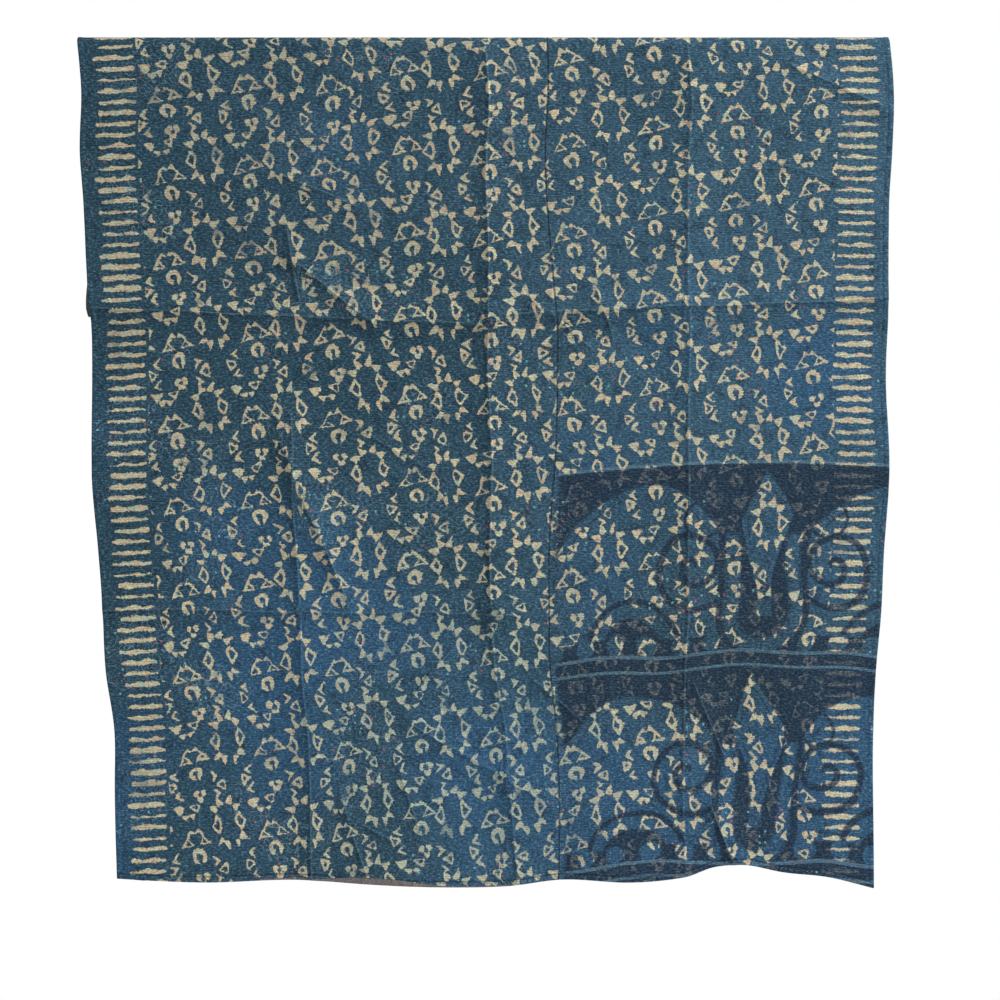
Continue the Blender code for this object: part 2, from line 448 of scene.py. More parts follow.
def make_cloth(points, normals, across, runs):
    """The closed sheet: printed face, backing, and a rounded rim between them."""
    from_edge, from_front = edge_distances(across, runs)
    hem = np.clip((HEM_WIDTH - from_edge) / HEM_EASE, 0.0, 1.0)[..., None]
    face = points + normals * HEM_EXTRA * 0.5 * hem
    backing = points - normals * (THICKNESS + HEM_EXTRA * 0.5 * hem)
    border = border_of(*runs.shape)
    rim = rim_points(0.5 * (face + backing), border)
    faces, looks = sheet_faces(*runs.shape, border)
    vertices = np.concatenate((face.reshape(-1, 3), backing.reshape(-1, 3), rim))
    mesh = bpy.data.meshes.new("throw_cloth")
    mesh.from_pydata([tuple(v) for v in vertices], [], faces)
    mesh.polygons.foreach_set("material_index", looks)
    keep_measure(mesh, "cloth", np.broadcast_to(across, runs.shape), runs, border)
    keep_measure(mesh, "edges", from_edge, from_front, border)
    keep_measure(mesh, "creases", *crease_measures(points, across), border)
    mesh.shade_smooth()
    cloth = bpy.data.objects.new("throw_cloth", mesh)
    bpy.context.scene.collection.objects.link(cloth)
    return cloth


# Sums in node trees

class Term:
    """A value in a node tree. Sums on terms become Math nodes, so that a shape reads as its formula."""

    def __init__(self, tree, socket):
        self.tree = tree
        self.socket = socket

    def math(self, operation, *others):
        node = self.tree.nodes.new("ShaderNodeMath")
        node.operation = operation
        for socket, value in zip(node.inputs, (self,) + others):
            feed(self.tree, socket, value)
        return Term(self.tree, node.outputs[0])

    def __add__(self, other):
        return self.math("ADD", other)

    def __sub__(self, other):
        return self.math("SUBTRACT", other)

    def __mul__(self, other):
        return self.math("MULTIPLY", other)

    def __neg__(self):
        return self.math("MULTIPLY", -1.0)

    def __abs__(self):
        return self.math("ABSOLUTE")

    def times_plus(self, factor, addend):
        return self.math("MULTIPLY_ADD", factor, addend)

    def least(self, other):
        return self.math("MINIMUM", other)

    def most(self, other):
        return self.math("MAXIMUM", other)

    def rounded_most(self, other, reach):
        """Greater of two values, eased where they are closer than the reach, which rounds a corner."""
        return self.math("SMOOTH_MAX", other, reach)

    def floor(self):
        return self.math("FLOOR")

    def fract(self):
        return self.math("FRACT")

    def sine(self):
        return self.math("SINE")

    def above(self, level):
        return self.math("GREATER_THAN", level)

    def rise(self, start, end):
        """Ease from 0 at start to 1 at end."""
        node = self.tree.nodes.new("ShaderNodeMapRange")
        node.interpolation_type = "SMOOTHSTEP"
        feed(self.tree, node.inputs["Value"], self)
        feed(self.tree, node.inputs["From Min"], start)
        feed(self.tree, node.inputs["From Max"], end)
        return Term(self.tree, node.outputs["Result"])

    def parts(self):
        """The x and y of a vector."""
        node = self.tree.nodes.new("ShaderNodeSeparateXYZ")
        feed(self.tree, node.inputs[0], self)
        return Term(self.tree, node.outputs[0]), Term(self.tree, node.outputs[1])


def feed(tree, socket, value):
    """Gives a socket a term's value or a constant."""
    if isinstance(value, Term):
        tree.links.new(value.socket, socket)
    else:
        socket.default_value = value


def vector_of(tree, x, y):
    """A vector from its parts."""
    node = tree.nodes.new("ShaderNodeCombineXYZ")
    feed(tree, node.inputs[0], x)
    feed(tree, node.inputs[1], y)
    return Term(tree, node.outputs[0])


def line(x, y, along_x, along_y, start):
    """Sum of both parts times their factors and a start: the distance past a straight edge."""
    return x.times_plus(along_x, y.times_plus(along_y, start))


def length_of(x, y):
    """Length of the vector with these parts."""
    return x.times_plus(x, y * y).math("SQRT")


def measured_from(x, y, middle_x, middle_y, turn=0.0, wide=1.0, high=1.0):
    """A place as measured from a middle, along axes turned by degrees and in its own units."""
    cosine = math.cos(math.radians(turn))
    sine = math.sin(math.radians(turn))
    along = line(x, y, cosine / wide, sine / wide, -(middle_x * cosine + middle_y * sine) / wide)
    up = line(x, y, -sine / high, cosine / high, (middle_x * sine - middle_y * cosine) / high)
    return along, up


Noise = namedtuple("Noise", "scale detail roughness")


def noise_at(tree, place, kind):
    """Noise from 0 to 1 at a place, and the node's colour for two more noises."""
    node = tree.nodes.new("ShaderNodeTexNoise")
    node.noise_dimensions = "2D"
    feed(tree, node.inputs["Vector"], place)
    node.inputs["Scale"].default_value = kind.scale
    node.inputs["Detail"].default_value = kind.detail
    node.inputs["Roughness"].default_value = kind.roughness
    return Term(tree, node.outputs[0]), Term(tree, node.outputs[1])


def slipped(place, *slips):
    """A place moved to and fro by noises from 0 to 1, each given with the whole width of its movement."""
    place = place - 0.5 * sum(width for noise_value, width in slips)
    for noise_value, width in slips:
        place = noise_value.times_plus(width, place)
    return place


def random_at(tree, x, y):
    """Random value and colour for each pair of whole numbers."""
    node = tree.nodes.new("ShaderNodeTexWhiteNoise")
    node.noise_dimensions = "2D"
    feed(tree, node.inputs["Vector"], vector_of(tree, x, y))
    return Term(tree, node.outputs["Value"]), Term(tree, node.outputs["Color"])


def blend(tree, share, first, second):
    """Mix of two values by a share."""
    node = tree.nodes.new("ShaderNodeMix")
    node.data_type = "FLOAT"
    feed(tree, node.inputs["Factor"], share)
    feed(tree, node.inputs["A"], first)
    feed(tree, node.inputs["B"], second)
    return Term(tree, node.outputs["Result"])


def tint(tree, share, first, second):
    """Mix of two colours by a share."""
    node = tree.nodes.new("ShaderNodeMix")
    node.data_type = "RGBA"
    inputs = {socket.identifier: socket for socket in node.inputs}
    feed(tree, inputs["Factor_Float"], share)
    feed(tree, inputs["A_Color"], first)
    feed(tree, inputs["B_Color"], second)
    outputs = {socket.identifier: socket for socket in node.outputs}
    return Term(tree, outputs["Result_Color"])


def shaded(tree, colour, shade):
    """A colour made lighter or darker by a factor."""
    node = tree.nodes.new("ShaderNodeVectorMath")
    node.operation = "SCALE"
    feed(tree, node.inputs[0], colour)
    feed(tree, node.inputs["Scale"], shade)
    return Term(tree, node.outputs[0])


def new_group(name, inputs, outputs):
    """An empty shader node group: its tree, its inputs as terms, and its output node's sockets."""
    tree = bpy.data.node_groups.new(name, "ShaderNodeTree")
    for title, kind in inputs:
        tree.interface.new_socket(title, in_out="INPUT", socket_type=kind)
    for title, kind in outputs:
        tree.interface.new_socket(title, in_out="OUTPUT", socket_type=kind)
    source = tree.nodes.new("NodeGroupInput")
    result = tree.nodes.new("NodeGroupOutput")
    return tree, [Term(tree, source.outputs[title]) for title, kind in inputs], result.inputs


def use_group(tree, group, *values):
    """Places a node group, feeds it, and returns its outputs as terms."""
    node = tree.nodes.new("ShaderNodeGroup")
    node.node_tree = group
    for socket, value in zip(node.inputs, values):
        feed(tree, socket, value)
    outputs = [Term(tree, socket) for socket in node.outputs]
    return outputs[0] if len(outputs) == 1 else outputs


# Stamped shapes. Each gives the distance to its outline, below zero inside, in the unit of its place.
PLACE = [("X", FLOAT), ("Y", FLOAT)]
DISTANCE = [("Distance", FLOAT)]


def shape_group(shape):
    """A node group that turns a place into the distance to one shape."""
    tree, (x, y), results = new_group("stamped_" + shape.__name__, PLACE, DISTANCE)
    feed(tree, results["Distance"], shape(x, y))
    return tree


def c_ring(x, y):
    """Thick ring with a slot cut in from below, in millimetres."""
    ring = abs(length_of(x, y) - 8.8) - 4.1
    slot = (abs(x - 1.0) - 2.4).most(y - 1.0)
    return ring.rounded_most(-slot, 1.5)


def heart_ring(x, y):
    """Lobed ring, parted at the top, in millimetres."""
    side = abs(x)
    lobes = (length_of(side - 6.2, y - 3.6) - 6.4).least(length_of(x, y + 6.2) - 6.6)
    hole = length_of(x, y - 0.6) - 3.4
    slot = (side - 1.0).most(-y)
    return lobes.most(-hole).most(-slot)


def wedge(x, y):
    """Triangle that points up, 2 units wide and high, with rounded corners."""
    tip = (x * 0.894).rounded_most(x * -0.894, 0.8)
    return (y.times_plus(0.447, tip) - 0.57).rounded_most(-y - 1.0, 0.9)


def pierced_wedge(x, y):
    """Triangle that points up, with a small hole."""
    edge = wedge(x, y)
    return edge.most(-edge - 0.38)


def chevron(x, y):
    """Bent stroke whose tip points right, thinning towards its ends, 2 units high."""
    reach = y.rounded_most(-y, 0.35)
    stroke = reach.times_plus(0.19, abs(x + reach - 0.5) * 0.707) - 0.37
    return stroke.rounded_most(reach - 1.0, 0.4)


def kite(x, y):
    """Outlined kite with its long point to the right, in tens of millimetres."""
    reach = abs(y)
    outer = line(x, reach, 0.74, 0.67, -0.97)
    inner = line(x, reach, -0.80, 0.60, -1.04)
    edge = outer.rounded_most(inner, 0.5).rounded_most(-x - 0.84, 0.5)
    return abs(edge + 0.24) - 0.26


def crown(x, y):
    """Arch with two peaks, thin legs and a hollow triangular foot on each side, in millimetres."""
    side = abs(x)
    peaks = line(abs(side - 5.9), y, 0.75, 0.66, -14.9).rounded_most(-y + 13.2, 2.0)
    slant = line(side, y, 0.777, 0.63, 0.0)
    low = -y - 5.6
    leg = (abs(slant - 16.8) - 2.3).most(low).most(y - 18.0)
    foot = (slant - 19.1).rounded_most(line(side, y, -0.80, 0.60, 5.6), 1.0).rounded_most(low, 1.5)
    foot = foot.most(-foot - 3.9)
    return peaks.least(leg).least(foot)


SHAPES = (c_ring, heart_ring, wedge, pierced_wedge, chevron, kite, crown)
Stamp = namedtuple("Stamp", "shape x y turn wide high")

# The block's column, in millimetres from its C-shaped ring along the block's own axes, and the figures on
# its left
COLUMN = (
    Stamp(c_ring, 0, 0, 0, 1, 1),
    Stamp(heart_ring, 0, -38, 0, 1, 1),
    Stamp(crown, 0, 24, 2, 1, 1),
    Stamp(wedge, -20, 77.5, 176, 12.0, 8.8),
    Stamp(pierced_wedge, 11.5, 78.5, 188, 11.4, 8.0),
    Stamp(wedge, -10.6, 65.0, 180, 7.8, 5.6),
    Stamp(wedge, 2.4, 65.0, 180, 7.6, 5.2),
    Stamp(chevron, -39.8, 0.5, 176, 9.6, 9.6),
    Stamp(pierced_wedge, -46.5, -16.0, -88, 11.6, 8.8),
    Stamp(chevron, -39.5, -33.5, 184, 9.6, 9.6),
)

# The flower between two columns: pointed petals over two kites over two birds, all in pairs, and the side
# figures above it
FLOWER_CENTRE = (-70.0, 55.7)
FLOWER_PAIR = (
    Stamp(wedge, 9.6, 38.3, -24, 7.0, 9.6),
    Stamp(wedge, 22.2, 25.6, -71, 7.4, 9.0),
    Stamp(kite, 20.6, 0.0, 0, 9.4, 11.2),
    Stamp(wedge, 22.0, -26.6, -122, 6.4, 9.2),
    Stamp(wedge, 9.8, -34.8, 176, 6.2, 9.4),
)
FLOWER_SIDE = (
    Stamp(chevron, -8.6, 81.0, 4, 9.6, 9.6),
    Stamp(pierced_wedge, 1.0, 65.0, 88, 11.6, 8.8),
    Stamp(chevron, -9.5, 50.5, -4, 9.0, 8.6),
)


def nearest_stamp(tree, x, y, stamps, shapes):
    """Distance in millimetres to the nearest of several stamped shapes."""
    nearest = None
    for stamp in stamps:
        place = measured_from(x, y, stamp.x, stamp.y, stamp.turn, stamp.wide, stamp.high)
        distance = use_group(tree, shapes[stamp.shape], *place)
        if stamp.wide != 1:
            distance = distance * (0.5 * (stamp.wide + stamp.high))
        nearest = distance if nearest is None else nearest.least(distance)
    return nearest


def column_group(shapes):
    """Distance to the block's column of stamped shapes."""
    tree, (x, y), results = new_group("block_column", PLACE, DISTANCE)
    feed(tree, results["Distance"], nearest_stamp(tree, x, y, COLUMN, shapes))
    return tree


def flower_group(shapes):
    """Distance to the flower between two columns."""
    tree, (x, y), results = new_group("block_flower", PLACE, DISTANCE)
    x, y = measured_from(x, y, *FLOWER_CENTRE)
    flower = nearest_stamp(tree, abs(x), y, FLOWER_PAIR, shapes)
    side = nearest_stamp(tree, x, y, FLOWER_SIDE, shapes)
    feed(tree, results["Distance"], flower.least(side))
    return tree


# Where the block was stamped, in millimetres of cloth: for each panel the u of its first column, the steps
# to the next column and row, and the v of the first ring in each column
Layout = namedtuple("Layout", "u column_step row_step ring_v")
LEFT_LAYOUT = Layout(146.0, 134.0, 138.3, (-133, -117, -120, -83, -100, -96))
RIGHT_LAYOUT = Layout(822.0, 136.5, 145.5, (-218, -185, -168, -140, -124))
BLOCK_TURN = 10.5
COLUMN_WINDOW = (-62.0, 88.0)
FLOWER_WINDOW = (-145.0, 151.8)
BLOCK_SLIP = 5.0
RING_V_SPAN = 250.0


def first_ring_group():
    """v of the first ring in a column of a panel, read from the layouts."""
    tree, (column, panel), results = new_group(
        "first_ring", [("Column", FLOAT), ("Panel", FLOAT)], [("V", FLOAT)]
    )
    ramp = tree.nodes.new("ShaderNodeValToRGB")
    ramp.color_ramp.interpolation = "CONSTANT"
    starts = LEFT_LAYOUT.ring_v + RIGHT_LAYOUT.ring_v
    while len(ramp.color_ramp.elements) < len(starts):
        ramp.color_ramp.elements.new(1.0)
    for number, (element, start) in enumerate(zip(ramp.color_ramp.elements, starts)):
        share = -start / RING_V_SPAN
        element.position = number / len(starts)
        element.color = (share, share, share, 1.0)
    index = column.most(0.0) + panel * len(LEFT_LAYOUT.ring_v)
    feed(tree, ramp.inputs["Fac"], (index + 0.5) * (1.0 / len(starts)))
    feed(tree, results["V"], Term(tree, ramp.outputs["Color"]).parts()[0] * -RING_V_SPAN)
    return tree


def layout_group(first_ring):
    """Place within the stamped block that covers a point of the cloth, and random values for that block."""
    tree, (u, v, panel, window_u, window_v), results = new_group(
        "block_layout",
        [("U", FLOAT), ("V", FLOAT), ("Panel", FLOAT), ("Window U", FLOAT), ("Window V", FLOAT)],
        [("X", FLOAT), ("Y", FLOAT), ("Chance", FLOAT)],
    )
    column_step = blend(tree, panel, LEFT_LAYOUT.column_step, RIGHT_LAYOUT.column_step)
    row_step = blend(tree, panel, LEFT_LAYOUT.row_step, RIGHT_LAYOUT.row_step)
    from_first = u - blend(tree, panel, LEFT_LAYOUT.u, RIGHT_LAYOUT.u)
    column = ((from_first - window_u).math("DIVIDE", column_step)).floor()
    x = from_first - column * column_step
    from_ring = v - use_group(tree, first_ring, column, panel)
    below_window = x.times_plus(math.tan(math.radians(BLOCK_TURN)), window_v) - from_ring
    row = (below_window.math("DIVIDE", row_step)).floor()
    chance, more = random_at(tree, panel.times_plus(17.0, column), row)
    slip_x, slip_y = more.parts()
    x = slipped(x, (slip_x, BLOCK_SLIP))
    y = slipped(row.times_plus(row_step, from_ring), (slip_y, BLOCK_SLIP))
    x, y = measured_from(x, y, 0.0, 0.0, BLOCK_TURN)
    feed(tree, results["X"], x)
    feed(tree, results["Y"], y)
    feed(tree, results["Chance"], chance)
    return tree


# Panels and border bars, in millimetres of cloth
CLOTH_WIDE = WIDTH * MM
SEAM_U = 783.0
SEAM_SWAY = 9.0
SEAM_SWAY_RATE = 0.0085
FIELD_MIDDLE = 679.0
FIELD_HALF = 583.0
BAR_PITCH = 18.3
BAR_LEFT_MIDDLE = 58.5
BAR_RIGHT_MIDDLE = CLOTH_WIDE - 56.0
BAR_TILT_LEFT = 0.055
BAR_TILT_RIGHT = -0.011
BAR_HALF_LENGTH = 33.0
BAR_SHORTEST_HALF = 31.0
BAR_THINNEST_HALF = 1.4
BAR_LENGTH_SLIP = 4.0
BAR_THICK_SLIP = 2.2
BAR_SIDE_SLIP = 6.0
BAR_SWELL = 3.0
BAR_TAPER = 1.5


def past_seam(u, v):
    """How far a place is to the right of the seam between the left panel and the right ones."""
    return u - (v * SEAM_SWAY_RATE).sine().times_plus(SEAM_SWAY, SEAM_U)


def bars_group():
    """Distance to the border bars on both sides."""
    tree, (u, v, wobble), results = new_group(
        "border_bars", [("U", FLOAT), ("V", FLOAT), ("Wobble", FLOAT)], DISTANCE
    )
    right = u.above(0.5 * CLOTH_WIDE)
    from_middle = u - blend(tree, right, BAR_LEFT_MIDDLE, BAR_RIGHT_MIDDLE)
    tilt = blend(tree, right, BAR_TILT_LEFT, BAR_TILT_RIGHT)
    turns = (v - from_middle * tilt) * (1.0 / BAR_PITCH)
    chance, more = random_at(tree, turns.floor(), right * 5.0)
    end_slip, thick_slip = more.parts()
    across = abs(turns.fract() - 0.5) * BAR_PITCH
    outward = abs(slipped(from_middle, (end_slip, BAR_SIDE_SLIP)))
    taper = (outward * (1.0 / BAR_HALF_LENGTH)).math("POWER", 3.0) * -BAR_TAPER
    thick = thick_slip.times_plus(BAR_THICK_SLIP, wobble * BAR_SWELL) + taper + BAR_THINNEST_HALF
    ends = outward - chance.times_plus(BAR_LENGTH_SLIP, BAR_SHORTEST_HALF)
    feed(tree, results["Distance"], (across - thick).rounded_most(ends, 4.0))
    return tree


# The older print, in millimetres of cloth: where its panel starts and how that edge bows up, its repeat, its
# line of symmetry right of the seam, and how far its lines wander. A figure's middle is out from the line of
# symmetry and down from the top of a repeat.
LOWER_PANEL_V = -743.0
PANEL_EDGE_RISE = 70.0
PANEL_EDGE_BOW = 54.0
OLD_REPEAT = 348.0
OLD_AXIS = 362.0
OLD_WANDER_U = 30.0
OLD_WANDER_V = 18.0
LEAF_TOP = 8.0
LEAF_FOOT = 255.0
LEAF_HALF = 28.0
LEAF_SWELL = 17.0
LEAF_SWELL_RATE = 0.0205
LOOP_TOP = 116.0
LOOP_MIDDLE = 250.0
LOOP_RADIUS = 55.0
LOOP_HALF = 13.0
MOAT_TOP = 98.0
MOAT_RADIUS = 80.0
DOME_MIDDLE = (214.0, 204.0)
DOME_RADIUS = 162.0
DOME_SQUASH = 0.95
DOME_FOOT = 284.0
HOLLOW_MIDDLE = (222.0, 306.0)
HOLLOW_RADIUS = 54.0
HOLLOW_RING = 82.0
HOLLOW_RING_HALF = 5.0
SCROLL_MIDDLE = (122.0, 168.0)
SCROLL_PITCH = 40.0
SCROLL_TURNS = 1.9
SCROLL_SHARE = 0.14
EYE_MIDDLE = (104.0, 92.0)
EYE_RADIUS = 30.0
EYE_HALF = 3.0
LOBE_PITCH = 56.0
LOBE_DOWN = 296.0
LOBE_RADIUS = 16.0
LOBES_FROM = 70.0
PALE_LINE_HIGH = 314.0
PALE_LINE_LOW = 339.0
PALE_LINE_HIGH_HALF = 2.6
PALE_LINE_LOW_HALF = 2.2
OLD_OUTLINE_HALF = 1.5


def curl(x, y):
    """Distance to a thin curl that winds outward from a point."""
    reach = length_of(x, y)
    angle = y.math("ARCTAN2", x) * (1.0 / (2.0 * math.pi))
    arm = abs((reach * (1.0 / SCROLL_PITCH) - angle).fract() - 0.5) * SCROLL_PITCH
    return (arm - SCROLL_SHARE * SCROLL_PITCH).most(reach - SCROLL_PITCH * SCROLL_TURNS)


def from_figure(out, down, middle, squash=1.0):
    """Distance from a figure's middle."""
    return length_of(out - middle[0], (down - middle[1]) * squash)


def old_figures(out, down):
    """Distances to the leaf, to the loop round its foot, to the dark moat round both, and to the dome."""
    swelling = (down * LEAF_SWELL_RATE).sine().times_plus(LEAF_SWELL, LEAF_HALF)
    leaf = (out - swelling).most(-down + LEAF_TOP)
    leaf = leaf.most(line(out, down, 0.9, -0.5, 4.0)).most(down - LEAF_FOOT)
    from_stem = length_of(out, (down - LOOP_MIDDLE).most(0.0))
    loop = (abs(from_stem - LOOP_RADIUS) - LOOP_HALF).most(-down + LOOP_TOP)
    moat = (from_stem - MOAT_RADIUS).most(-down + MOAT_TOP)
    dome = from_figure(out, down, DOME_MIDDLE, DOME_SQUASH) - DOME_RADIUS
    return leaf, loop, moat, dome.most(down - DOME_FOOT)


def old_gaps(out, down):
    """Distance to what is left dark inside the dome: a scroll, an eye, and a hollow with a ring round it."""
    from_hollow = from_figure(out, down, HOLLOW_MIDDLE)
    hollow = (from_hollow - HOLLOW_RADIUS).least(abs(from_hollow - HOLLOW_RING) - HOLLOW_RING_HALF)
    eye = abs(from_figure(out, down, EYE_MIDDLE) - EYE_RADIUS) - EYE_HALF
    scroll = curl(out - SCROLL_MIDDLE[0], down - SCROLL_MIDDLE[1])
    return scroll.least(hollow).least(eye)


def old_print_group():
    """The older print under the lower right panel: masks of its dark ground, of where the newer ink stayed
    dim on it, of its outlines, of its pale lines, of the fold at the panel's edge, and of the panel."""
    tree, (u, v, wobble_u, wobble_v), results = new_group(
        "old_scroll_print",
        [("U", FLOAT), ("V", FLOAT), ("Wobble U", FLOAT), ("Wobble V", FLOAT)],
        [("Dark", FLOAT), ("Resist", FLOAT), ("Line", FLOAT), ("Pale", FLOAT), ("Edge", FLOAT),
         ("Panel", FLOAT)],
    )
    beyond_seam = past_seam(u, v)
    share = (u - SEAM_U) * (1.0 / (CLOTH_WIDE - SEAM_U))
    top = share.times_plus(-PANEL_EDGE_BOW, PANEL_EDGE_RISE).times_plus(share, LOWER_PANEL_V)
    below_top = top - v
    panel = (beyond_seam - 10.0).rise(-6.0, 6.0) * below_top.rise(-1.5, 1.5)
    down = (slipped(below_top, (wobble_v, OLD_WANDER_V)) * (1.0 / OLD_REPEAT)).fract() * OLD_REPEAT
    out = abs(slipped(u - SEAM_U - OLD_AXIS, (wobble_u, OLD_WANDER_U)))
    leaf, loop, moat, dome = old_figures(out, down)
    lobe = abs((out * (1.0 / LOBE_PITCH)).fract() - 0.5) * LOBE_PITCH
    lobes = (length_of(lobe, down - LOBE_DOWN) - LOBE_RADIUS).most(-out + LOBES_FROM)
    light = leaf.least(loop).least(dome.most(-old_gaps(out, down).least(moat))).least(lobes)
    high_line = abs(down - PALE_LINE_HIGH) - PALE_LINE_HIGH_HALF
    low_line = abs(down - PALE_LINE_LOW) - PALE_LINE_LOW_HALF
    pale = high_line.least(low_line).rise(1.0, -0.6)
    resist = light.rise(-2.0, 2.0)
    outline = abs(dome + 13.0).least(abs(loop + 1.5)).least(abs(leaf + 9.0)) - OLD_OUTLINE_HALF
    feed(tree, results["Dark"], resist.least(-pale + 1.0) * panel)
    feed(tree, results["Resist"], resist * panel)
    feed(tree, results["Line"], outline.rise(0.8, -0.6) * panel)
    feed(tree, results["Pale"], pale * panel)
    feed(tree, results["Edge"], abs(below_top + 3.0).rise(4.0, 1.0) * (beyond_seam - 8.0).rise(-3.0, 3.0))
    feed(tree, results["Panel"], panel)
    return tree


# Running stitch, in millimetres: its rows are a pitch apart and wander together
STITCH_PITCH = 4.0
STITCH_RUN = 7.5
STITCH_WANDER = 14.0


def stitch_group():
    """Rows of running stitch: height of the quilted surface, and masks of the thread and of the furrows."""
    tree, (u, v, drift), results = new_group(
        "running_stitch_rows",
        [("U", FLOAT), ("V", FLOAT), ("Drift", FLOAT)],
        [("Height", FLOAT), ("Thread", FLOAT), ("Furrow", FLOAT)],
    )
    rows = drift.times_plus(STITCH_WANDER, v) * (1.0 / STITCH_PITCH)
    number = rows.floor()
    chance = random_at(tree, number, 3.0)[0]
    across = abs(rows.fract() - 0.5)
    furrow = across.rise(0.26, 0.0)
    dash = abs(chance.times_plus(9.0, u * (1.0 / STITCH_RUN)).fract() - 0.5)
    thread = dash.rise(0.30, 0.25) * across.rise(0.11, 0.05)
    dip = dash.rise(0.24, 0.42)
    feed(tree, results["Height"], thread * 0.35 - furrow * dip.times_plus(0.35, 0.15))
    feed(tree, results["Thread"], thread)
    feed(tree, results["Furrow"], furrow)
    return tree


# Unevenness of the weave, for places in millimetres, then of the cloth, for places in metres
WEAVE_GRAIN = Noise(0.27, 2.0, 0.8)
WEAVE_SLUBS = Noise(0.42, 0.0, 0.5)
GRAIN_STRETCH = 0.75
SLUB_STRETCH = 0.28
WANDER = Noise(7.0, 0.0, 0.5)
DYE_BROAD = Noise(2.6, 1.0, 0.5)
DYE_PATCHES = Noise(21.0, 1.0, 0.7)
DYE_STAINS = Noise(44.0, 1.0, 0.5)
HAND_SLIP = Noise(52.0, 0.0, 0.5)
RAGGED_EDGE = Noise(270.0, 0.0, 0.5)
INK_TONES = Noise(75.0, 1.0, 0.5)
INK_WEAR = Noise(13.0, 2.0, 0.7)
WINDING_LINES = Noise(27.0, 1.0, 0.7)
MARKED_PATCHES = Noise(8.0, 0.0, 0.5)
BACKING_PATCHES = Noise(9.0, 2.0, 0.6)


def weave_group():
    """Plain weave, lint with painted sheen, and wear: a grain of lighter and darker threads, longer across
    than down.
    """
    tree, (u, v), results = new_group(
        "plain_weave", [("U", FLOAT), ("V", FLOAT)], [("Grain", FLOAT), ("Slubs", FLOAT)]
    )
    grain = noise_at(tree, vector_of(tree, u * GRAIN_STRETCH, v), WEAVE_GRAIN)[0]
    slubs = noise_at(tree, vector_of(tree, u * SLUB_STRETCH, v), WEAVE_SLUBS)[0]
    feed(tree, results["Grain"], slubs.times_plus(0.22, grain * 0.78))
    feed(tree, results["Slubs"], slubs)
    return tree


def rgb(red, green, blue):
    """Linear colour from the three values of a screen colour, 0 to 255."""
    def linear(value):
        value = value / 255.0
        return value / 12.92 if value <= 0.04045 else ((value + 0.055) / 1.055) ** 2.4
    return (linear(red), linear(green), linear(blue), 1.0)


# Dyes, inks and threads
DYE_TEAL = rgb(31, 57, 72)
DYE_BLUE = rgb(46, 75, 94)
DYE_BRIGHT = rgb(34, 70, 102)
# Darkest dye for stains, also the colour of the painted shade in the sunk seam and hem lines
DYE_DARK_AND_SHADE = rgb(16, 33, 47)
# Pale grey of lint, also used as painted sheen
LINT_AND_SHEEN = rgb(98, 130, 140)
INK = rgb(170, 162, 134)
INK_PINK = rgb(170, 140, 120)
INK_PALE = rgb(146, 164, 150)
INK_DIM = rgb(72, 80, 88)
OLD_GROUND = rgb(21, 35, 51)
WORN_PALE = rgb(100, 128, 142)
SPECK_PINK = rgb(160, 70, 84)
SPECK_AQUA = rgb(110, 170, 172)
BACKING_GREY = rgb(78, 80, 87)
BACKING_BROWN = rgb(97, 90, 88)
THREAD_PALE = rgb(112, 128, 134)
THREAD_DARK = rgb(40, 60, 78)
LOOSE_PALE = rgb(196, 196, 178)
LOOSE_DARK = rgb(150, 156, 146)


def dye_and_light_group():
    """Uneven indigo over the whole cloth: teal and darker to the left, bluer below and to the right; the
    lighter right side is partly painted light from the upper right.
    """
    tree, (cloth,), results = new_group("uneven_dye_and_painted_light", [("Cloth", VECTOR)], [("Color", COLOUR)])
    u, v = cloth.parts()
    broad = noise_at(tree, cloth, DYE_BROAD)[0]
    patchy = noise_at(tree, cloth, DYE_PATCHES)[0]
    stain = noise_at(tree, cloth, DYE_STAINS)[0]
    # The teal-to-blue hue is the dye's own; the brightening towards the right is partly painted light from
    # the upper right
    towards_right = line(u, broad, 0.62, 0.9, -0.68) + patchy * 0.5
    colour = tint(tree, towards_right.rise(0.0, 1.0), DYE_TEAL, DYE_BLUE)
    below = line(u, v, 0.04, -0.30, broad).rise(0.66, 1.06)
    colour = tint(tree, below * 0.70, colour, DYE_BRIGHT)
    colour = tint(tree, stain.rise(0.50, 0.76) * 0.46, colour, DYE_DARK_AND_SHADE)
    feed(tree, results["Color"], colour)
    return tree


# How far the printer's hand and the wet ink moved the newer print, in millimetres
PRINT_WANDER_U = 13.0
PRINT_WANDER_V = 11.0
PRINT_SLIP = 5.5
BAR_SLIP = 4.0
PRINT_RAGGED = 2.6


